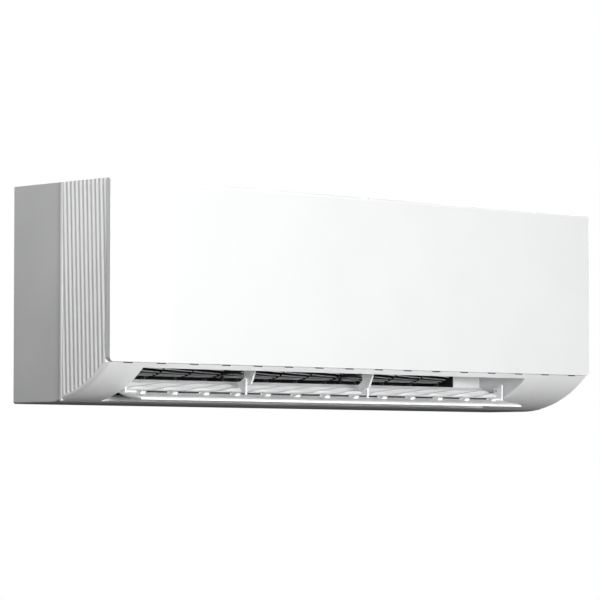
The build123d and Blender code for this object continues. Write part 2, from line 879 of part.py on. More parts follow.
with BuildPart() as outlet_frame:
    tongue_top = ceiling_rear[1] + 5.5
    prism(
        [
            (frame_front, ceiling_front_height),
            ceiling_rear,
            (ceiling_rear[0], tongue_top),
            (ceiling_rear[0] - skin, tongue_top),
            (ceiling_rear[0] - skin, ceiling_rear[1] + skin - 0.6),
            (frame_front + skin, ceiling_front_height + skin + 0.6),
            (frame_front + skin, 72 - fit_gap),
            (frame_front, 72 - fit_gap),
        ],
        wall_left,
        wall_right + skin,
    )
    # end walls, just inside the casing's skin
    for start, back in ((wall_left, floor_front[0] - fit_gap), (wall_right, bay_depth + skin)):
        cheek_body(
            frame_front + 1,
            back,
            ceiling_front_height + 2,
            start,
            start + skin,
            inset=wall_inset,
        )
        prism(
            [
                (frame_front, ceiling_front_height),
                (back, ceiling_front_height),
                (back, bay_top),
                ceiling_rear,
            ],
            start,
            start + skin,
        )
    # closed bay at the right end: its back wall and the ceiling above it
    bay_x = (guide_right + fit_gap, wall_right + skin)
    block(bay_x, (bay_depth, bay_depth + skin), (cheek_height(bay_depth, wall_inset) + 0.2, bay_top))
    prism(
        [
            (ceiling_rear[0] - skin, ceiling_rear[1] - 4),
            (bay_depth + skin, bay_top - skin),
            (bay_depth + skin, bay_top),
            (ceiling_rear[0], ceiling_rear[1] + 1),
        ],
        *bay_x,
    )
    # posts that carry the louver between its ends
    for place in post_places:
        start = place - post_thickness / 2
        prism(
            [
                (post_depth[0], ceiling_height(post_depth[0]) + 1),
                (45, 29.6),
                (48, 28.8),
                (55, 24.8),
                (66, 24.7),
                (67.3, 29),
                (66, 33.5),
                (post_depth[1], 38),
                (post_depth[1], ceiling_height(post_depth[1]) + 1),
            ],
            start,
            start + post_thickness,
        )
    # bearings for the louver's pins
    bearing_radius = louver_pin_radius + running_gap
    rod(louver_pivot, bearing_radius, wall_left - 1, wall_left + skin + 1, mode=Mode.SUBTRACT)
    rod(louver_pivot, bearing_radius, wall_right - 1, wall_right + skin + 1, mode=Mode.SUBTRACT)
    for place in post_places:
        through = (place - post_thickness, place + post_thickness)
        rod(louver_pivot, bearing_radius, *through, mode=Mode.SUBTRACT)
    # sensor hole in the bay's end wall
    rod((17, 47), 1.5, wall_right - 1, wall_right + skin + 1, mode=Mode.SUBTRACT)
    # screw bosses behind the casing's front wall
    with BuildSketch(Plane.XZ.offset(case_depth - frame_front)) as boss_face:
        for place in screw_places:
            with Locations((place - case_width / 2, screw_height - case_height / 2)):
                Circle(3.5)
    extrude(boss_face.sketch, amount=-10)
    with BuildSketch(Plane.XZ.offset(case_depth - frame_front)) as boss_holes:
        for place in screw_places:
            with Locations((place - case_width / 2, screw_height - case_height / 2)):
                Circle(screw_radius)
    extrude(boss_holes.sketch, amount=-9, mode=Mode.SUBTRACT)
write(outlet_frame, "outlet_frame")

# ---- Louver, drawn closed and placed open ----


def louver_plane(from_left):
    """Plane across the unit at the louver's pivot, turned with the louver."""
    turn = radians(louver_opening)
    return Plane(
        origin=xyz(from_left, *louver_pivot),
        x_dir=(0, cos(turn), sin(turn)),
        z_dir=(1, 0, 0),
    )


def louver_point(depth, inset):
    """Point of the louver from its pivot, where the closed louver lies in the cheek curve."""
    return (depth - louver_pivot[0], cheek_height(depth, inset) - louver_pivot[1])


def louver_sheet(
    front, back, outer_inset, inner_inset, start, end, mode=Mode.ADD, back_inset=None, front_taper=0
):
    """Curved sheet between two insets from the cheek curve; it may taper at its back and front edge."""
    middle = (front + back) / 2
    back_inset = inner_inset if back_inset is None else back_inset
    middle_inset = (inner_inset + back_inset) / 2
    with BuildSketch(louver_plane(start)) as face:
        with BuildLine():
            outer_line = [louver_point(depth, outer_inset) for depth in (front, middle, back)]
            inner_line = [
                louver_point(back, back_inset),
                louver_point(middle, middle_inset),
                louver_point(front + front_taper, inner_inset),
            ]
            ThreePointArc(*outer_line)
            Line(outer_line[2], inner_line[0])
            ThreePointArc(*inner_line)
            Line(inner_line[2], outer_line[0])
        make_face()
    extrude(face.sketch, amount=end - start, mode=mode)


louver_left = outlet_left + louver_side_gap
louver_right = outlet_right - louver_side_gap

with BuildPart() as louver_outer:
    nose = louver_skin + fit_gap
    louver_sheet(
        louver_front, louver_back, 0, louver_skin, louver_left, louver_right, front_taper=nose
    )
write(louver_outer, "louver_outer_plate")

arm_places = (
    louver_left + 2,
    post_places[0] - post_thickness / 2 - 0.6 - louver_arm_thickness,
    post_places[1] + post_thickness / 2 + 0.6,
    louver_right - 2 - louver_arm_thickness,
)
step_depth = 42
inner_start = louver_skin
inner_top = louver_skin + louver_depth_of_section
band_top = louver_skin + 1.6

with BuildPart() as louver_inner:
    # thin front band that tapers to the front, then the deeper rear half
    louver_sheet(
        louver_front + 3,
        step_depth + 3,
        inner_start,
        band_top,
        louver_left + 1,
        louver_right - 1,
        front_taper=7,
    )
    louver_sheet(
        step_depth,
        louver_back - 2,
        inner_start,
        inner_top - 1.6,
        louver_left + 1,
        louver_right - 1,
        back_inset=inner_start + 0.6,
    )
    # slot along the step, with a boss at every cell
    louver_sheet(
        step_depth - 1,
        step_depth + 6,
        band_top,
        inner_top,
        louver_left - 1,
        louver_right + 1,
        Mode.SUBTRACT,
    )
    cell = (louver_right - louver_left) / louver_cells
    for index in range(louver_cells):
        centre = louver_left + (index + 0.5) * cell
        louver_sheet(
            step_depth - 2,
            step_depth + 7,
            inner_start,
            inner_top - 0.6,
            centre - louver_boss_width / 2,
            centre + louver_boss_width / 2,
        )
    # arms up to the pivot, each with its own stub axle or shaft bore
    foot_front = louver_point(44.3, inner_start + 1)
    foot_back = louver_point(60.5, inner_start + 1)
    for place in arm_places:
        with BuildSketch(louver_plane(place)) as arm:
            with BuildLine():
                Polyline(foot_front, (-2.8, 14), (0, 13.4), (1.8, 10.2), (3.4, 0), foot_back, close=True)
            make_face()
            Circle(louver_hub_radius)
        extrude(arm.sketch, amount=louver_arm_thickness)
    # stub axles: into the left end wall and into both posts
    rod(louver_pivot, louver_pin_radius, wall_left + 0.5, arm_places[0] + louver_arm_thickness)
    post_left = post_places[0] - post_thickness / 2
    rod(louver_pivot, louver_pin_radius, arm_places[1], post_left + post_thickness)
    post_right = post_places[1] - post_thickness / 2
    rod(louver_pivot, louver_pin_radius, post_right, arm_places[2] + louver_arm_thickness)
    shaft_bore = 2 + running_gap
    shaft_end = arm_places[3] + louver_arm_thickness
    rod(louver_pivot, shaft_bore, arm_places[3] - 1, shaft_end + 1, Mode.SUBTRACT)
write(louver_inner, "louver_inner_plate")

motor_face = wall_right + skin + fit_gap
with BuildPart() as louver_shaft:
    rod(louver_pivot, 2, arm_places[3], wall_right)
    rod(louver_pivot, louver_pin_radius, arm_places[3] + louver_arm_thickness + 0.3, motor_face)
    rod(louver_pivot, 2, motor_face, motor_face + 12)
write(louver_shaft, "louver_shaft")

with BuildPart() as louver_motor:
    rod(louver_pivot, 11, motor_face, motor_face + 17)
    motor_ear = ((louver_pivot[0] - 4, louver_pivot[0] + 4), (louver_pivot[1], louver_pivot[1] + 17))
    block((motor_face, motor_face + 1.2), *motor_ear)
    rod(louver_pivot, 2 + running_gap, motor_face - 1, motor_face + 13, mode=Mode.SUBTRACT)
write(louver_motor, "louver_motor")

# ---- Blower ----

blower_right = blower_left + blower_length
hub_length = 14

with BuildPart() as blower_wheel:
    with BuildSketch(slice_plane(blower_left)):
        with Locations(yz(*blower_centre)):
            with PolarLocations(blower_radius - blade_chord / 2 - 0.8, blade_count):
                SlotCenterToCenter(blade_chord - blade_thickness, blade_thickness, rotation=35)
    extrude(amount=blower_length)
    disc_places = [
        blower_left + index * (blower_length - blower_disc) / blower_sections
        for index in range(blower_sections + 1)
    ]
    with BuildSketch(*[slice_plane(place) for place in (disc_places[0], disc_places[-1])]):
        with Locations(yz(*blower_centre)):
            Circle(blower_radius)
    extrude(amount=blower_disc)
    with BuildSketch(*[slice_plane(place) for place in disc_places[1:-1]]):
        with Locations(yz(*blower_centre)):
            Circle(blower_radius)
            Circle(blower_radius - blade_chord - 2, mode=Mode.SUBTRACT)
    extrude(amount=blower_disc)
    # hubs inside both end discs
    rod(blower_centre, 10, blower_left, blower_left + hub_length)
    rod(blower_centre, 10, blower_right - hub_length, blower_right)
    hub_bore = shaft_radius + running_gap
    rod(blower_centre, hub_bore, blower_left - 1, blower_left + hub_length, mode=Mode.SUBTRACT)
    rod(blower_centre, hub_bore, blower_right - hub_length, blower_right + 1, mode=Mode.SUBTRACT)
write(blower_wheel, "blower_wheel")

bearing_left = guide_left - 12
with BuildPart() as blower_end_shaft:
    rod(blower_centre, shaft_radius, bearing_left + 1, blower_left + hub_length)
write(blower_end_shaft, "blower_end_shaft")

with BuildPart() as blower_bearing:
    rod(blower_centre, 12, bearing_left, guide_left)
    rod(blower_centre, shaft_radius + running_gap, bearing_left - 1, guide_left + 1, mode=Mode.SUBTRACT)
write(blower_bearing, "blower_bearing")

with BuildPart() as motor_shaft:
    rod(blower_centre, shaft_radius, blower_right - hub_length, motor_left + motor_length - 10)
write(motor_shaft, "motor_shaft")

with BuildPart() as fan_motor:
    rod(blower_centre, motor_radius, motor_left, motor_left + motor_length)
    chamfer(fan_motor.edges().filter_by(GeomType.CIRCLE), 3)
    rod(blower_centre, 12, motor_left - 4, motor_left)
    bore_end = motor_left + motor_length - 9
    rod(blower_centre, shaft_radius + running_gap, motor_left - 5, bore_end, mode=Mode.SUBTRACT)
write(fan_motor, "fan_motor")

with BuildPart() as motor_cradle:
    cradle_x = (motor_left + 8, motor_left + motor_length - 8)
    cradle_front = bay_depth + skin + fit_gap
    block(
        cradle_x,
        (cradle_front, blower_centre[0] + 30),
        (cheek_height(cradle_front, skin) + fit_gap, blower_centre[1] - 12),
    )
    rod(blower_centre, motor_radius + fit_gap, *cradle_x, mode=Mode.SUBTRACT)
write(motor_cradle, "motor_cradle")

# ---- Heat exchanger ----


def slab_outline(foot, top, thickness):
    """Corners of a straight coil slab about its centre line."""
    run = (top[0] - foot[0], top[1] - foot[1])
    length = sqrt(run[0] ** 2 + run[1] ** 2)
    across = (-run[1] / length * thickness / 2, run[0] / length * thickness / 2)
    return [
        (foot[0] + across[0], foot[1] + across[1]),
        (top[0] + across[0], top[1] + across[1]),
        (top[0] - across[0], top[1] - across[1]),
        (foot[0] - across[0], foot[1] - across[1]),
    ]


def tube_centres(foot, top, rows=2, margin=11):
    """Tube centres in both rows of a slab, from its foot to its top."""
    run = (top[0] - foot[0], top[1] - foot[1])
    length = sqrt(run[0] ** 2 + run[1] ** 2)
    unit = (run[0] / length, run[1] / length)
    count = int((length - 2 * margin) / tube_pitch) + 1
    first = (length - (count - 1) * tube_pitch) / 2
    centres = []
    for row in range(rows):
        aside = (row - 0.5) * coil_thickness / 2
        for index in range(count):
            distance = first + index * tube_pitch
            centres.append(
                (
                    foot[0] + unit[0] * distance - unit[1] * aside,
                    foot[1] + unit[1] * distance + unit[0] * aside,
                )
            )
    return centres


bend_trim = 8  # the slabs stop short of the bend, so that they don't run into each other


def trimmed(foot, top, at_foot, at_top):
    run = (top[0] - foot[0], top[1] - foot[1])
    length = sqrt(run[0] ** 2 + run[1] ** 2)
    unit = (run[0] / length, run[1] / length)
    return (
        (foot[0] + unit[0] * at_foot, foot[1] + unit[1] * at_foot),
        (top[0] - unit[0] * at_top, top[1] - unit[1] * at_top),
    )


lower_slab = trimmed(coil_foot, coil_bend, 0, bend_trim / 2)
upper_slab = trimmed(coil_bend, coil_front_top, bend_trim / 2, 0)
rear_slab = (coil_rear_foot, coil_rear_top)


def fin_block(slabs):
    """Fin packs: each slab is one comb, a solid core with fin edges standing proud of both faces."""
    comb = {side: [] for side in (-1, 1)}
    for side, teeth in comb.items():
        for index in range(coil_fins):
            start = index * fin_pitch
            teeth.append((start, side * coil_core / 2))
            teeth.append((start, side * coil_thickness / 2))
            teeth.append((start + fin_thickness, side * coil_thickness / 2))
            teeth.append((start + fin_thickness, side * coil_core / 2))
    with BuildPart() as pack:
        for foot, top in slabs:
            run = (top[0] - foot[0], top[1] - foot[1])
            slab_plane = Plane(origin=xyz(coil_left, *foot), x_dir=(1, 0, 0), z_dir=(0, *run))
            with BuildSketch(slab_plane) as teeth_face:
                with BuildLine():
                    Polyline(*comb[1], *reversed(comb[-1]), close=True)
                make_face()
            extrude(teeth_face.sketch, amount=sqrt(run[0] ** 2 + run[1] ** 2))
            rods(tube_centres(foot, top), tube_radius, coil_left - 1, coil_right + 1, Mode.SUBTRACT)
    return pack


write(fin_block([lower_slab, upper_slab]), "coil_front_fins")
write(fin_block([rear_slab]), "coil_rear_fins")

plate_gap = 0.3
sheet = 1.5

with BuildPart() as coil_end_plates:
    for start in (coil_left - plate_gap - sheet, coil_right + plate_gap):
        for foot, top in (lower_slab, upper_slab, rear_slab):
            prism(slab_outline(foot, top, coil_thickness + 3), start, start + sheet)
        bridge = [
            (coil_foot[0] - coil_thickness / 2 - 1.5, 74.3),
            (coil_foot[0] + coil_thickness / 2 + 1.5, 74.3),
            (coil_foot[0] + coil_thickness / 2 + 1.5, coil_foot[1] + 1),
            (coil_foot[0] - coil_thickness / 2 - 1.5, coil_foot[1] + 1),
        ]
        prism(bridge, start, start + sheet)
        knee = [
            (coil_bend[0] - 14, coil_bend[1] - 12),
            (coil_bend[0] + 14, coil_bend[1] - 12),
            (coil_bend[0] + 18, coil_bend[1] + 10),
            (coil_bend[0] - 10, coil_bend[1] + 10),
        ]
        prism(knee, start, start + sheet)
        heel = [
            (coil_rear_foot[0] - 12, trough_height[1] + fit_gap),
            (coil_rear_foot[0] + 10, trough_height[1] + fit_gap),
            (coil_rear_foot[0] + 10, coil_rear_foot[1] + 8),
            (coil_rear_foot[0] - 8, coil_rear_foot[1]),
        ]
        prism(heel, start, start + sheet)
        crown = [
            (coil_front_top[0] - 6, coil_front_top[1] - 14),
            (coil_rear_top[0] + 6, coil_rear_top[1] - 14),
            (coil_rear_top[0], coil_rear_top[1]),
            (coil_front_top[0], coil_front_top[1]),
        ]
        prism(crown, start, start + sheet)
        for foot, top in (lower_slab, upper_slab, rear_slab):
            holes = tube_centres(foot, top)
            rods(holes, tube_radius + 0.2, start - 1, start + sheet + 1, Mode.SUBTRACT)
write(coil_end_plates, "coil_end_plates")

with BuildPart() as coil_tubes:
    tube_left = coil_left - plate_gap - sheet - 1
    tube_right = coil_right + plate_gap + sheet + 1
    tube_outer = tube_radius - running_gap
    for foot, top in (lower_slab, upper_slab, rear_slab):
        centres = tube_centres(foot, top)
        per_row = len(centres) // 2
        for row in (centres[:per_row], centres[per_row:]):
            # one unbroken tube a row: it starts at the right and turns back at both ends by turns
            with BuildLine() as serpentine:
                for index, centre in enumerate(row):
                    start, end = (tube_right, tube_left) if index % 2 == 0 else (tube_left, tube_right)
                    Line(xyz(start, *centre), xyz(end, *centre))
                    if index + 1 < len(row):
                        above = row[index + 1]
                        middle = ((centre[0] + above[0]) / 2, (centre[1] + above[1]) / 2)
                        reach = tube_pitch / 2 * (-1 if end == tube_left else 1)
                        ThreePointArc(xyz(end, *centre), xyz(end + reach, *middle), xyz(end, *above))
            with BuildSketch(Plane(origin=xyz(tube_right, *row[0]), z_dir=(-1, 0, 0))) as ring:
                Circle(tube_outer)
                Circle(tube_outer - tube_wall, mode=Mode.SUBTRACT)
            sweep(ring.sketch, path=serpentine.wire())
write(coil_tubes, "coil_tubes")

# ---- Drain ----

pan_x = (24, 856)
pan_front = frame_front
pan_back = ceiling_rear[0] - 2
pan_bottom = 72
pan_wall = 2

with BuildPart() as drain_pan:
    block(pan_x, (pan_front, pan_back), (pan_bottom, 98))
    block(
        (pan_x[0] + pan_wall, pan_x[1] - pan_wall),
        (pan_front + pan_wall, pan_back - pan_wall),
        (pan_bottom + pan_wall, 99),
        Mode.SUBTRACT,
    )
    drain_start = (62, pan_bottom + 11)
    rod(drain_start, drain_radius - 2, pan_x[1] - pan_wall - 1, pan_x[1] + 1, mode=Mode.SUBTRACT)
    # second outlet on the left, closed by the plug
    rod(drain_start, drain_radius - 2, pan_x[0] - 1, pan_x[0] + pan_wall + 1, mode=Mode.SUBTRACT)
write(drain_pan, "drain_pan")

with BuildPart() as drain_plug:
    rod(drain_start, drain_radius, pan_x[0] - 3, pan_x[0])
    rod(drain_start, drain_radius - 2, pan_x[0], pan_x[0] + pan_wall + 1)
write(drain_plug, "drain_plug")

drain_end = case_depth - 1
with BuildPart() as drain_elbow:
    corners = [
        xyz(pan_x[1] + fit_gap, *drain_start),
        xyz(drain_place, *drain_start),
        xyz(drain_place, drain_start[0], drain_height),
        xyz(drain_place, drain_end, drain_height),
    ]
    with BuildLine() as drain_route:
        FilletPolyline(*corners, radius=drain_radius * 1.5)
    with BuildSketch(Plane(origin=corners[0], z_dir=(1, 0, 0))) as drain_ring:
        Circle(drain_radius)
        Circle(drain_radius - 2, mode=Mode.SUBTRACT)
    sweep(drain_ring.sketch, path=drain_route.wire())
write(drain_elbow, "drain_elbow")

# ---- Refrigerant pipes ----

gas_union_place = 470
liquid_union_place = 560
tube_end = coil_right + plate_gap + sheet + 1
rear_centres = tube_centres(*rear_slab)
gas_start = rear_centres[0]
liquid_start = rear_centres[len(rear_centres) // 2]


def pipe(radius, start, drop, bay, union_place):
    """Copper pipe from the coil's right end, down through the bay's ceiling and left along the bay."""
    route = [
        xyz(tube_end, *start),
        xyz(drop - 14, *start),
        xyz(drop, bay[0], start[1] - 25),
        xyz(drop, *bay),
        xyz(union_place, *bay),
    ]
    with BuildPart() as copper:
        with BuildLine() as line:
            FilletPolyline(*route, radius=radius * 2.5)
        with BuildSketch(Plane(origin=route[0], z_dir=(1, 0, 0))) as ring:
            Circle(radius)
        sweep(ring.sketch, path=line.wire())
    return copper


write(pipe(gas_radius, gas_start, gas_drop, gas_bay, gas_union_place), "gas_pipe")
write(pipe(liquid_radius, liquid_start, liquid_drop, liquid_bay, liquid_union_place), "liquid_pipe")


def union(bay, place, flats, hex_length, nose_radius, nose_length, bore):
    """Male flare union on a pipe's end: a hexagon, then the nose that the site pipe's nut takes."""
    with BuildPart() as fitting:
        with BuildSketch(slice_plane(place - hex_length)) as hexagon:
            with Locations(yz(*bay)):
                RegularPolygon(flats / 2, 6, major_radius=False)
        extrude(hexagon.sketch, amount=hex_length)
        rod(bay, nose_radius, place - hex_length - nose_length, place - hex_length)
        rod(bay, bore, place - hex_length - nose_length - 1, place + 1, mode=Mode.SUBTRACT)
    return fitting


write(union(gas_bay, gas_union_place, 19, 12, gas_nose_radius, 16, 4), "gas_union")
write(union(liquid_bay, liquid_union_place, 13, 11, liquid_nose_radius, 14, 2.4), "liquid_union")

with BuildPart() as coil_sensor:
    sensor_place = tube_centres(*lower_slab)[0]
    rod(sensor_place, 2.5, tube_end + fit_gap, pan_x[1] - pan_wall - 2)
write(coil_sensor, "coil_sensor")

with BuildPart() as foam_strip:
    valley = ((coil_front_top[0] + coil_rear_top[0]) / 2, coil_front_top[1] - coil_thickness / 4 + 1)
    prism(
        [
            valley,
            (valley[0] - 16, valley[1] + 9.6),
            (valley[0] - 16, valley[1] + 15),
            (valley[0] + 16, valley[1] + 15),
            (valley[0] + 16, valley[1] + 9.6),
        ],
        coil_left,
        coil_right,
    )
write(foam_strip, "foam_strip")

# ---- Electrical side ----

box_wall = 2
box_y = (17.3, 95)
box_z = (108, 282)
board_depth = 60

with BuildPart() as control_box_base:
    block(control_box, box_y, box_z)
    block(
        (control_box[0] + box_wall, control_box[1] - box_wall),
        (box_y[0] - 1, box_y[1] - box_wall),
        (box_z[0] + box_wall, box_z[1] - box_wall),
        Mode.SUBTRACT,
    )
    # pillars under the board
    pillar_face = Plane.XZ.offset(case_depth - board_depth - 1.6)
    middle = ((control_box[0] + control_box[1]) / 2 - case_width / 2, sum(box_z) / 2 - case_height / 2)
    with BuildSketch(pillar_face) as pillars:
        with Locations(middle):
            with GridLocations(52, 140, 2, 2):
                Circle(3)
    extrude(pillars.sketch, amount=-(box_y[1] - box_wall - board_depth - 1.6))
write(control_box_base, "control_box")

with BuildPart() as control_box_lid:
    lid_y = (15.5, 17)
    block(control_box, lid_y, box_z)
    lid_face = Plane.XZ.offset(case_depth - lid_y[0])
    with BuildSketch(lid_face) as pads:
        with Locations(middle):
            with GridLocations(60, 120, 2, 2):
                Circle(4)
    extrude(pads.sketch, amount=lid_y[0] - casing_inner_front - fit_gap)
write(control_box_lid, "control_box_lid")

with BuildPart() as main_board:
    board_x = (control_box[0] + 8, control_box[1] - 8)
    board_z = (box_z[0] + 8, box_z[1] - 10)
    block(board_x, (board_depth, board_depth + 1.6), board_z)
    for part_x, part_z, height in (
        ((880, 900), (235, 262), 16),
        ((908, 930), (240, 258), 12),
        ((880, 896), (200, 222), 14),
        ((904, 932), (196, 228), 20),
        ((884, 892), (160, 182), 9),
        ((900, 930), (165, 180), 8),
    ):
        block(part_x, (board_depth - height, board_depth), part_z)
write(main_board, "main_board")

with BuildPart() as terminal_block:
    terminal_x = (880, 932)
    terminal_z = (124, 144)
    block(terminal_x, (board_depth - 18, board_depth), terminal_z)
    terminals = 4
    pitch = (terminal_x[1] - terminal_x[0]) / terminals
    for index in range(terminals):
        cell_x = (terminal_x[0] + index * pitch + 2, terminal_x[0] + (index + 1) * pitch - 2)
        cell_z = (terminal_z[0] + 3, terminal_z[1] - 3)
        block(cell_x, (board_depth - 19, board_depth - 10), cell_z, Mode.SUBTRACT)
write(terminal_block, "terminal_block")

with BuildPart() as display_board:
    display_x = (868, 938)
    display_z = (238, 258)
    block(display_x, (6, 7.2), display_z)
    for place in (display_x[0] + 5, display_x[1] - 5):
        block((place - 3, place + 3), (7.2, casing_front - fit_gap), (display_z[0] + 4, display_z[1] - 4))
    for index in range(2):
        digit = display_x[0] + 22 + index * 16
        block((digit, digit + 11), (4, 6), (display_z[0] + 2, display_z[1] - 2))
write(display_board, "display_board")

with BuildPart() as auxiliary_button:
    button_front = panel_back + fit_gap
    button_axis = Plane(origin=xyz(button_place[0], button_front, button_place[1]), z_dir=(0, 1, 0))
    with BuildSketch(button_axis):
        Circle(button_radius)
    extrude(amount=casing_inner_front + fit_gap - button_front)
    with BuildSketch(button_axis.offset(casing_inner_front + fit_gap - button_front)):
        Circle(button_radius + 2)
    extrude(amount=1)
    fillet(auxiliary_button.edges().sort_by(Axis.Y)[0], 0.4)
write(auxiliary_button, "auxiliary_button")
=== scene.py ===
"""Mini split indoor unit: looks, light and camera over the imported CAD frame.

The scene is in metres and in the CAD's own frame: X to the unit's right, Y into the wall, Z up, with
the origin on the wall face. Points are given by their distances from the unit's left end, from its
front face and from its underside, in millimetres.
"""

import json
from math import cos, pi, radians, sin, sqrt

import bpy
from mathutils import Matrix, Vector


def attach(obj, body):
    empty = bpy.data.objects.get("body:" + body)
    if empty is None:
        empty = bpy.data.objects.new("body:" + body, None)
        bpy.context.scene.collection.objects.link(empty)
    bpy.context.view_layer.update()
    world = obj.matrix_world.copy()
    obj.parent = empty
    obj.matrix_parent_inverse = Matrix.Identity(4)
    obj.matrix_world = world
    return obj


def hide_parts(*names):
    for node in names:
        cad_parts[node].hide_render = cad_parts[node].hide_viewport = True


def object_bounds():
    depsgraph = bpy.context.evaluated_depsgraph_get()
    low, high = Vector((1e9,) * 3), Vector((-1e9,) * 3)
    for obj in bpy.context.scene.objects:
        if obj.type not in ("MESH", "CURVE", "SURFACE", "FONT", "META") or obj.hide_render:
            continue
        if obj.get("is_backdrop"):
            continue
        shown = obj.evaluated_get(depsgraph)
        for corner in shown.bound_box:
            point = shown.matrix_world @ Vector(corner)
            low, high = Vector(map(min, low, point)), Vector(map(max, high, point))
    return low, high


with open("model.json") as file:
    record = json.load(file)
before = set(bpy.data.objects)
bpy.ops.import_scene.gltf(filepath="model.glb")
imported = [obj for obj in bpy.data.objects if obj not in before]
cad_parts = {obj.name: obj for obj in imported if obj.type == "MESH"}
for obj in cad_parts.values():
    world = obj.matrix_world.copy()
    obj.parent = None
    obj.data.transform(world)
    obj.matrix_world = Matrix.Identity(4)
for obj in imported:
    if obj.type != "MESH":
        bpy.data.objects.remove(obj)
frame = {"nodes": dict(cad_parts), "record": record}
cad_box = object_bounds()

# ---- The part's own measures, in millimetres ----

CASE = (960, 210, 300)
CHEEK_RADIUS = 188
CHEEK_RUN = 133
LOUVER_PIVOT = (62.8, 28.85)
LOUVER_OPENING = radians(44)
LOUVER_SPAN = (68, 823)
LOUVER_CELLS = 13
LOUVER_STEP = 48  # back of the slot along the louver's inner face
LOUVER_BOSS = 9  # width
PLATE_FRONT_INSET = 6.6
PLATE_BACK_INSET = 2.8
LIP_NOTCH_FIRST = 33.8
LIP_NOTCH_PITCH = 59.2
LIP_NOTCHES = 16
BLOWER_CENTRE = (132, 86)
BLOWER_RADIUS = 46
BLOWER_SPAN = (70, 760)
BLOWER_BLADES = 35
BLOWER_DISC = 2

# ---- Measures of the pieces that only this scene has, in millimetres ----

PAD_DEPTHS = (50, 91)  # where the louver's ridges start and end
PAD_SWEEP = 2.4  # cells by which a ridge moves sideways on its way back
PAD_LIFT = 4.0
PAD_ROOT = 0.3  # the ridges' foot lies this far inside the plate
PAD_END_GAP = 1.5
PAD_FADES = (5, 3)  # how fast a ridge rises at its front and sinks at its back
PAD_SLOPES = (0.8, 0.2)  # shares of a cell over which a ridge falls and climbs
PAD_ROWS = 36
PAD_COLUMNS = 16  # in each cell

# Dark boxes of painted shade along the louver's step
SLOT_BOSS_GAP = 2.5
SLOT_DEPTHS = (LOUVER_STEP - 0.8, LOUVER_STEP + 0.3)
SLOT_INSETS = (3.9, 6.2)

# Dark boxes of painted shade in the lip's notches
LIP_SHADE = (15.6, 1.4)  # length and height
LIP_SHADE_DEPTHS = (1.9, 3.9)
LIP_SHADE_FOOT = 52.45

BLOWER_SECTIONS = 12  # the solid wheel has 8
BLADE_PROFILE = [(34.5, 0.0), (38.5, -0.045), (42, -0.11), (45.4, -0.2)]  # radius, and angle in radians
BLADE_HALF_THICKNESS = 1.0
BLADE_SKEW = 0.6  # of the pitch, from one end of a section to the other
BLADE_STEPS = 4
BLADE_SHADE_RADIUS = 42  # painted shade: the blades are darkest inside this radius
DISC_SIDES = 48


def place(from_left, depth, height):
    """A point given as distances from the left end, the front face and the underside."""
    return Vector((from_left - CASE[0] / 2, depth - CASE[1], height - CASE[2] / 2)) / 1000


# ---- Materials ----

CLOUD_SCALE = 9.0
CLOUD_BAND = (0.3, 0.7)  # the part of the noise's values that is used
SHEEN_SPREAD = 0.05
GRAIN_DEPTH = 0.0004  # metres, as are the other depths of relief
FINE_DEPTH = 0.0002
NET_DEPTH = 0.0003


def tree_of(name):
    """A new material with its shader, its object coordinates and functions that add and link nodes."""
    material = bpy.data.materials.new(name)
    material.use_nodes = True
    nodes = material.node_tree.nodes
    shader = nodes["Principled BSDF"]
    coordinates = nodes.new("ShaderNodeTexCoord")

    def add(kind, inputs=None, **settings):
        node = nodes.new(kind)
        for key, value in settings.items():
            setattr(node, key, value)
        for key, value in (inputs or {}).items():
            if isinstance(value, bpy.types.NodeSocket):
                material.node_tree.links.new(value, node.inputs[key])
            else:
                node.inputs[key].default_value = value
        return node

    def link(source, target):
        material.node_tree.links.new(source, target)

    return material, shader, coordinates.outputs["Object"], add, link


def ramp(add, factor, low, high, dark, light):
    """A two-stop colour ramp."""
    node = add("ShaderNodeValToRGB", {"Fac": factor})
    node.color_ramp.elements[0].position = low
    node.color_ramp.elements[1].position = high
    node.color_ramp.elements[0].color = dark
    node.color_ramp.elements[1].color = light
    return node.outputs["Color"]


def remapped(add, value, old, new):
    """A value moved from one range to another."""
    ends = {"From Min": old[0], "From Max": old[1], "To Min": new[0], "To Max": new[1]}
    return add("ShaderNodeMapRange", {"Value": value, **ends}).outputs["Result"]


def relief(add, link, shader, height, strength, depth):
    """Relief too fine for geometry, in the shader's normal."""
    texture = add("ShaderNodeBump", {"Height": height, "Strength": strength, "Distance": depth})
    link(texture.outputs["Normal"], shader.inputs["Normal"])


def shade(colour, factor):
    return tuple(channel * factor for channel in colour[:3]) + (1,)


def moulded(name, colour, rough=0.42, grain=1400, bump=0.03, mottle=0.03, metal=0.0, coat=0.0):
    """Moulded plastic or painted sheet: fine spark-eroded grain, faint cloudiness and uneven sheen."""
    material, shader, point, add, link = tree_of(name)
    cloud = add("ShaderNodeTexNoise", {"Vector": point, "Scale": CLOUD_SCALE, "Detail": 3.0})
    fine = add("ShaderNodeTexNoise", {"Vector": point, "Scale": grain, "Detail": 2.0})
    dark, light = shade(colour, 1 - mottle), shade(colour, 1 + mottle)
    link(ramp(add, cloud.outputs["Fac"], *CLOUD_BAND, dark, light), shader.inputs["Base Color"])
    roughness = (rough - SHEEN_SPREAD, rough + SHEEN_SPREAD)
    link(remapped(add, cloud.outputs["Fac"], CLOUD_BAND, roughness), shader.inputs["Roughness"])
    relief(add, link, shader, fine.outputs["Fac"], bump, GRAIN_DEPTH)
    shader.inputs["Metallic"].default_value = metal
    shader.inputs["Coat Weight"].default_value = coat
    return material


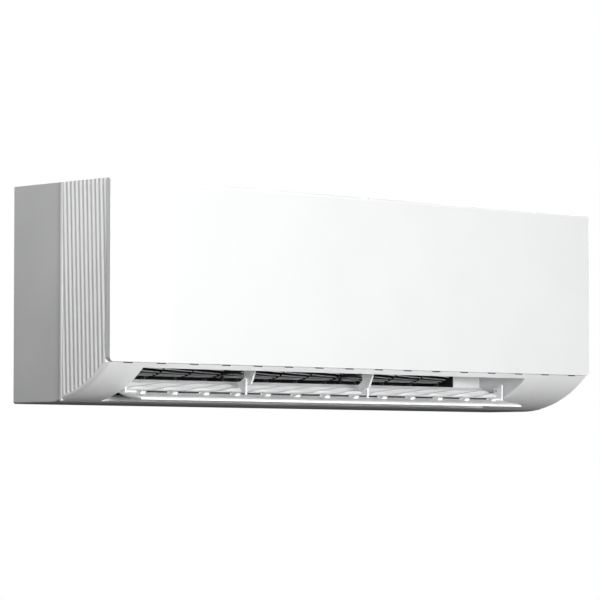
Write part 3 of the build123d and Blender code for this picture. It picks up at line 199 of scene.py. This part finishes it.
def drawn_metal(name, colour, rough=0.3, stretch=(4, 900, 900), streak=0.12):
    """Rolled, ground or drawn metal: long fine streaks in colour and in sheen."""
    material, shader, point, add, link = tree_of(name)
    cloud_scale, tint_band, sheen_band, line_strength = 35.0, (0.12, 0.42), (0.1, 0.45), 0.12
    stretched = add("ShaderNodeMapping", {"Vector": point, "Scale": stretch}).outputs["Vector"]
    lines = add("ShaderNodeTexNoise", {"Vector": stretched, "Scale": 1.0, "Detail": 4.0})
    cloud = add("ShaderNodeTexNoise", {"Vector": point, "Scale": cloud_scale, "Detail": 2.0})
    both = add("ShaderNodeMath", {0: lines.outputs["Fac"], 1: cloud.outputs["Fac"]}, operation="MULTIPLY")
    dark, light = shade(colour, 1 - streak), shade(colour, 1 + streak)
    link(ramp(add, both.outputs[0], *tint_band, dark, light), shader.inputs["Base Color"])
    roughness = (rough - 0.08, rough + 0.12)
    link(remapped(add, both.outputs[0], sheen_band, roughness), shader.inputs["Roughness"])
    relief(add, link, shader, lines.outputs["Fac"], line_strength, FINE_DEPTH)
    shader.inputs["Metallic"].default_value = 1.0
    return material


def woven(name, thread, gap, pitch=0.0011):
    """Fine square net: threads both ways over darker gaps, its pitch in metres."""
    material, shader, point, add, link = tree_of(name)
    thread_band, thread_strength = (0.35, 0.75), 0.5
    axes = add("ShaderNodeSeparateXYZ", {"Vector": point})
    rows = []
    for axis in ("X", "Y"):
        turns = add("ShaderNodeMath", {0: axes.outputs[axis], 1: 2 * pi / pitch}, operation="MULTIPLY")
        rows.append(add("ShaderNodeMath", {0: turns.outputs[0]}, operation="COSINE"))
    higher = add("ShaderNodeMath", {0: rows[0].outputs[0], 1: rows[1].outputs[0]}, operation="MAXIMUM")
    link(ramp(add, higher.outputs[0], *thread_band, gap, thread), shader.inputs["Base Color"])
    relief(add, link, shader, higher.outputs[0], thread_strength, NET_DEPTH)
    shader.inputs["Roughness"].default_value = 0.7
    return material


def foamed(name, colour):
    """Closed-cell foam or rubber: small pits all over, darkened with painted shade."""
    material, shader, point, add, link = tree_of(name)
    pit_scale, pit_shade_band, pit_strength = 700.0, (0.1, 0.6), 0.4
    cells = add("ShaderNodeTexVoronoi", {"Vector": point, "Scale": pit_scale}).outputs["Distance"]
    link(ramp(add, cells, *pit_shade_band, shade(colour, 0.7), shade(colour, 1.2)), shader.inputs["Base Color"])
    relief(add, link, shader, cells, pit_strength, GRAIN_DEPTH)
    shader.inputs["Roughness"].default_value = 0.85
    return material


def circuit(name, colour):
    """Solder-masked board with faint tracks."""
    material, shader, point, add, link = tree_of(name)
    track_scale, track_band, track_strength = 160.0, (0.55, 0.6), 0.15
    field = {"Vector": point, "Scale": track_scale}
    tracks = add("ShaderNodeTexVoronoi", field, distance="MANHATTAN", feature="F2").outputs["Distance"]
    dark, light = shade(colour, 0.75), shade(colour, 1.5)
    link(ramp(add, tracks, *track_band, dark, light), shader.inputs["Base Color"])
    relief(add, link, shader, tracks, track_strength, FINE_DEPTH)
    shader.inputs["Roughness"].default_value = 0.35
    return material


def shade_and_highlight_blades(name, inner, tip_highlight):
    """Glossy blades whose colour runs from painted shade inside to a painted highlight at their tips."""
    material, shader, point, add, link = tree_of(name)
    tip_highlight_band = (0.1, 0.7)
    axes = add("ShaderNodeSeparateXYZ", {"Vector": point})
    across = add("ShaderNodeCombineXYZ", {"Y": axes.outputs["Y"], "Z": axes.outputs["Z"]})
    centre = place(CASE[0] / 2, *BLOWER_CENTRE)
    out = add("ShaderNodeVectorMath", {0: across.outputs["Vector"], 1: centre}, operation="DISTANCE")
    share = remapped(add, out.outputs["Value"], (BLADE_SHADE_RADIUS / 1000, BLOWER_RADIUS / 1000), (0, 1))
    # painted shade towards the axis, painted highlight at the blade tips
    link(ramp(add, share, *tip_highlight_band, inner, tip_highlight), shader.inputs["Base Color"])
    shader.inputs["Roughness"].default_value = 0.3
    return material


# The panel's white is set darker than the casing's, to come out as bright as photographed in this light
MATERIALS = {
    "casing_white": moulded("casing_white", (0.86, 0.864, 0.868), rough=0.45),
    "panel_white": moulded(
        "panel_white", (0.575, 0.578, 0.581), rough=0.36, bump=0.015, mottle=0.01, coat=0.15
    ),
    "rib_white": moulded("rib_white", (0.65, 0.653, 0.656), rough=0.5),
    "chassis_grey": moulded("chassis_grey", (0.53, 0.532, 0.536), rough=0.55, bump=0.06),
    "louver_white": moulded("louver_white", (0.80, 0.804, 0.808), rough=0.65, bump=0.02),
    "duct_dark": moulded("duct_dark", (0.03, 0.03, 0.032), rough=0.16, bump=0.02, mottle=0.1),
    "outlet_white": moulded("outlet_white", (0.74, 0.745, 0.75), rough=0.45),
    "vane_grey": moulded("vane_grey", (0.05, 0.05, 0.052), rough=0.45, mottle=0.1),
    "blower_black": shade_and_highlight_blades("blower_black", (0.02, 0.02, 0.021, 1), (0.9, 0.905, 0.91, 1)),
    "filter_blue": moulded("filter_blue", (0.10, 0.17, 0.24), rough=0.5),
    "net_grey": woven("net_grey", (0.16, 0.19, 0.22, 1), (0.02, 0.025, 0.03, 1)),
    "fin_aluminium": drawn_metal("fin_aluminium", (0.72, 0.73, 0.74), rough=0.35, stretch=(900, 60, 60)),
    "zinc_steel": moulded("zinc_steel", (0.56, 0.57, 0.58), rough=0.42, grain=300, mottle=0.08, metal=0.35),
    "copper": drawn_metal("copper", (0.72, 0.36, 0.22), rough=0.28, stretch=(12, 260, 260), streak=0.2),
    "brass_fitting": drawn_metal("brass_fitting", (0.68, 0.50, 0.24), rough=0.25, stretch=(500, 40, 40)),
    "steel_shaft": drawn_metal("steel_shaft", (0.50, 0.51, 0.53), rough=0.25, stretch=(700, 40, 40)),
    "rubber_black": foamed("rubber_black", (0.02, 0.02, 0.02)),
    "foam_grey": foamed("foam_grey", (0.06, 0.06, 0.065)),
    "motor_case": moulded("motor_case", (0.10, 0.10, 0.11), rough=0.4, metal=0.4),
    "stepper_white": moulded("stepper_white", (0.62, 0.63, 0.64), rough=0.45),
    "box_grey": moulded("box_grey", (0.52, 0.53, 0.54), rough=0.5),
    "board_green": circuit("board_green", (0.02, 0.09, 0.04)),
    "terminal_black": moulded("terminal_black", (0.02, 0.02, 0.022), rough=0.4),
    "drain_grey": moulded("drain_grey", (0.28, 0.285, 0.29), rough=0.55),
}

slot_of = {entry["node"]: entry["material_slot"] for entry in frame["record"]["subparts"]}
for name, node in frame["nodes"].items():
    node.data.materials.clear()
    node.data.materials.append(MATERIALS[slot_of[name]])


# ---- Pieces that only this scene has ----


def add_piece(name, points, faces, body, material_slot, smooth=False):
    """A mesh piece that rides on one body of the CAD frame."""
    mesh = bpy.data.meshes.new(name)
    mesh.from_pydata(points, [], faces)
    mesh.update()
    mesh.polygons.foreach_set("use_smooth", [smooth] * len(mesh.polygons))
    mesh.materials.append(MATERIALS[material_slot])
    piece = bpy.data.objects.new(name, mesh)
    bpy.context.scene.collection.objects.link(piece)
    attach(piece, body)
    return piece


def louver_place(from_left, depth, inset):
    """A point on the louver, given where it would lie in the closed louver, set in from its skin."""
    across = depth - LOUVER_PIVOT[0]
    height = CHEEK_RADIUS - sqrt((CHEEK_RADIUS - inset) ** 2 - (CHEEK_RUN - depth) ** 2)
    rise = height - LOUVER_PIVOT[1]
    turned = (
        LOUVER_PIVOT[0] + across * cos(LOUVER_OPENING) - rise * sin(LOUVER_OPENING),
        LOUVER_PIVOT[1] + across * sin(LOUVER_OPENING) + rise * cos(LOUVER_OPENING),
    )
    return place(from_left, *turned)


def flow_pads():
    """Relief along the louver: one low ridge a cell, steep behind, that sweeps back to the unit's right."""
    cell = (LOUVER_SPAN[1] - LOUVER_SPAN[0]) / LOUVER_CELLS
    front, back = PAD_DEPTHS
    falls, climbs = PAD_SLOPES
    columns = LOUVER_CELLS * PAD_COLUMNS
    edge = (LOUVER_SPAN[0] + PAD_END_GAP, LOUVER_SPAN[1] - PAD_END_GAP)
    points, faces = [], []
    for step in range(PAD_ROWS + 1):
        along = step / PAD_ROWS
        depth = front + (back - front) * along
        base = PLATE_FRONT_INSET + (PLATE_BACK_INSET - PLATE_FRONT_INSET) * along - PAD_ROOT
        fade = min(1, PAD_FADES[0] * along, PAD_FADES[1] * (1 - along))
        for side in range(columns + 1):
            from_left = edge[0] + (edge[1] - edge[0]) * side / columns
            phase = ((from_left - LOUVER_SPAN[0]) / cell - PAD_SWEEP * along) % 1
            ridge = 1 - phase / falls if phase < falls else (phase - falls) / climbs
            points.append(louver_place(from_left, depth, base + PAD_LIFT * fade * ridge))
    row = columns + 1
    for step in range(PAD_ROWS):
        for side in range(columns):
            corner = step * row + side
            faces.append((corner, corner + 1, corner + row + 1, corner + row))
    add_piece("louver_flow_pads", points, faces, "louver", "louver_white", smooth=True)


def step_slot_shades():
    """Painted shade: dark boxes along the louver's step, one between each two bosses, in place of the shade
    in slots there.
    """
    cell = (LOUVER_SPAN[1] - LOUVER_SPAN[0]) / LOUVER_CELLS
    edge = LOUVER_BOSS / 2 + SLOT_BOSS_GAP
    (front, back), (outer, inner) = SLOT_DEPTHS, SLOT_INSETS
    points, faces = [], []
    for index in range(LOUVER_CELLS - 1):
        middle = LOUVER_SPAN[0] + cell * (index + 1)
        first = len(points)
        for from_left in (middle - cell / 2 + edge, middle + cell / 2 - edge):
            for depth, inset in ((front, outer), (back, outer), (back, inner), (front, inner)):
                points.append(louver_place(from_left, depth, inset))
        faces += [(first, first + 1, first + 2, first + 3), (first + 7, first + 6, first + 5, first + 4)]
        for side in range(4):
            after = (side + 1) % 4
            faces.append((first + side, first + 4 + side, first + 4 + after, first + after))
    add_piece("louver_step_slot_shades", points, faces, "louver", "terminal_black")


def lip_shades():
    """Painted shade: dark boxes at the backs of the small notches in the lip under the panel, in place of
    the shade in them.
    """
    length, rise = LIP_SHADE
    points, faces = [], []
    for index in range(LIP_NOTCHES):
        middle = LIP_NOTCH_FIRST + index * LIP_NOTCH_PITCH
        first = len(points)
        for from_left in (middle - length / 2, middle + length / 2):
            for height in (LIP_SHADE_FOOT, LIP_SHADE_FOOT + rise):
                points += [place(from_left, depth, height) for depth in LIP_SHADE_DEPTHS]
        for face in ((0, 1, 3, 2), (4, 6, 7, 5), (0, 2, 6, 4), (1, 5, 7, 3), (0, 4, 5, 1), (2, 3, 7, 6)):
            faces.append(tuple(first + corner for corner in face))
    add_piece("lip_notch_shades", points, faces, "indoor_unit", "terminal_black")


def wheel_point(from_left, radius, angle):
    return place(from_left, BLOWER_CENTRE[0] + radius * cos(angle), BLOWER_CENTRE[1] + radius * sin(angle))


def blower_blades():
    """Curved, skewed blades that stand in for the solid wheel's and lean the other way round its axis.

    Each section is set half a blade on from the last.
    """
    pitch = 2 * pi / BLOWER_BLADES
    run = (BLOWER_SPAN[1] - BLOWER_SPAN[0] - BLOWER_DISC) / BLOWER_SECTIONS
    skew = BLADE_SKEW * pitch
    outline = [(*corner, -1) for corner in BLADE_PROFILE]
    outline += [(*corner, 1) for corner in reversed(BLADE_PROFILE)]
    ring = len(outline)
    points, faces = [], []
    for section in range(BLOWER_SECTIONS):
        start = BLOWER_SPAN[0] + BLOWER_DISC / 2 + section * run
        for blade in range(BLOWER_BLADES):
            base = (blade + 0.5 * (section % 2)) * pitch
            first = len(points)
            for step in range(BLADE_STEPS + 1):
                turn = base + skew * (step / BLADE_STEPS - 0.5)
                from_left = start + run * step / BLADE_STEPS
                for radius, lean, side in outline:
                    angle = turn + lean + side * BLADE_HALF_THICKNESS / radius
                    points.append(wheel_point(from_left, radius, angle))
            for step in range(BLADE_STEPS):
                for corner in range(ring):
                    near, after = first + step * ring, (corner + 1) % ring
                    faces.append((near + corner, near + after, near + ring + after, near + ring + corner))
    wheel = add_piece("blower_blades", points, faces, "blower", "blower_black")
    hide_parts("blower_wheel")


def blower_discs():
    """Closed discs at both ends of the wheel and between its sections."""
    run = (BLOWER_SPAN[1] - BLOWER_SPAN[0] - BLOWER_DISC) / BLOWER_SECTIONS
    points, faces = [], []
    for index in range(BLOWER_SECTIONS + 1):
        start = BLOWER_SPAN[0] + index * run
        first = len(points)
        other = first + DISC_SIDES
        for from_left in (start, start + BLOWER_DISC):
            for corner in range(DISC_SIDES):
                points.append(wheel_point(from_left, BLOWER_RADIUS, 2 * pi * corner / DISC_SIDES))
        faces += [tuple(range(first, other)), tuple(range(other + DISC_SIDES - 1, other - 1, -1))]
        for corner in range(DISC_SIDES):
            after = (corner + 1) % DISC_SIDES
            faces.append((first + corner, other + corner, other + after, first + after))
    add_piece("blower_discs", points, faces, "blower", "terminal_black")


flow_pads()
step_slot_shades()
lip_shades()
blower_blades()
blower_discs()

# ---- Floor, light and camera, in metres ----

FLOOR_HEIGHT = -4
FLOOR_SIZE = 6
SKY_BAND = (-0.1, 0.8)  # heights of a direction between which the soft light grows
SKY_STRENGTH = (0.0, 0.25)
LENS_LENGTH = 193.5  # millimetres, as is the sensor's width
SENSOR_WIDTH = 36
CAMERA_PLACE = (-3.2467, -3.5009, -0.2402)
CAMERA_TURN = (93.01, 0, -43.43)  # degrees
VIEW_DISTANCE = 50

# Each with its place, the point it is aimed at, its size, its power in watts and its spread in degrees
SOFTBOXES = {
    "front_softbox": ((-1.05, -4.9, 0.15), (0, -0.1, 0), (3.2, 1.4), 35, 60),
    "right_softbox": ((1.3, -3.0, 0.1), (0.1, -0.1, 0), (1.2, 0.6), 4, 70),
    "side_softbox": ((2.3, 0.9, 0.8), (0.45, -0.1, 0), (1.0, 1.0), 6, 70),
    "top_softbox": ((0.3, -1.6, 2.4), (0, -0.1, 0), (2.4, 1.2), 8, 80),
    "left_softbox": ((-1.2, -0.5, 1.15), (-0.45, -0.1, 0), (0.8, 0.6), 5, 90),
    "back_softbox": ((1.2, 2.6, 1.8), (0, -0.1, 0), (2.0, 1.6), 20, 90),
}


def stage_floor():
    """Plain pale floor, well under the unit, which hangs on a wall that isn't shown."""
    half = FLOOR_SIZE / 2
    mesh = bpy.data.meshes.new("floor")
    corners = [(-half, -half), (half, -half), (half, half), (-half, half)]
    mesh.from_pydata([(x, y, FLOOR_HEIGHT) for x, y in corners], [], [(0, 1, 2, 3)])
    floor = bpy.data.objects.new("floor", mesh)
    bpy.context.scene.collection.objects.link(floor)
    mesh.materials.append(moulded("floor_pale", (0.78, 0.78, 0.78), rough=0.7, grain=60, bump=0.02))
    floor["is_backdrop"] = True


def area_light(name, position, target, size, power, spread):
    """Softbox with a grid, which keeps its light within an angle in degrees."""
    light = bpy.data.lights.new(name, "AREA")
    light.spread = radians(spread)
    light.shape = "RECTANGLE"
    light.size, light.size_y = size
    light.energy = power
    lamp = bpy.data.objects.new(name, light)
    bpy.context.scene.collection.objects.link(lamp)
    lamp.location = position
    lamp.rotation_euler = (Vector(target) - Vector(position)).to_track_quat("-Z", "Y").to_euler()


def studio_world():
    """White backdrop for the camera, and soft light that comes from above more than from below."""
    world = bpy.data.worlds.new("studio")
    bpy.context.scene.world = world
    world.use_nodes = True
    nodes, links = world.node_tree.nodes, world.node_tree.links
    backdrop = nodes["Background"]
    backdrop.inputs["Color"].default_value = (1, 1, 1, 1)
    soft = nodes.new("ShaderNodeBackground")
    direction = nodes.new("ShaderNodeTexCoord")
    axes = nodes.new("ShaderNodeSeparateXYZ")
    links.new(direction.outputs["Generated"], axes.inputs["Vector"])
    level = nodes.new("ShaderNodeMapRange")
    for end, value in zip(("From Min", "From Max", "To Min", "To Max"), SKY_BAND + SKY_STRENGTH):
        level.inputs[end].default_value = value
    links.new(axes.outputs["Z"], level.inputs["Value"])
    links.new(level.outputs["Result"], soft.inputs["Strength"])
    path = nodes.new("ShaderNodeLightPath")
    mix = nodes.new("ShaderNodeMixShader")
    links.new(path.outputs["Is Camera Ray"], mix.inputs["Fac"])
    links.new(soft.outputs["Background"], mix.inputs[1])
    links.new(backdrop.outputs["Background"], mix.inputs[2])
    links.new(mix.outputs["Shader"], nodes["World Output"].inputs["Surface"])


def camera():
    """Long lens at the photograph's viewing angle."""
    lens = bpy.data.cameras.new("camera")
    lens.lens = LENS_LENGTH
    lens.sensor_width = SENSOR_WIDTH
    lens.clip_end = VIEW_DISTANCE
    view = bpy.data.objects.new("camera", lens)
    bpy.context.scene.collection.objects.link(view)
    view.location = CAMERA_PLACE
    view.rotation_euler = [radians(turn) for turn in CAMERA_TURN]
    bpy.context.scene.camera = view


stage_floor()
studio_world()
camera()
for name, settings in SOFTBOXES.items():
    area_light(name, *settings)
bpy.context.scene.view_settings.view_transform = "Standard"
bpy.context.scene.view_settings.exposure = 0.0

boxes = {"cad": cad_box, "visual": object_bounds()}
{key: [list(corner) for corner in box] for key, box in boxes.items()}
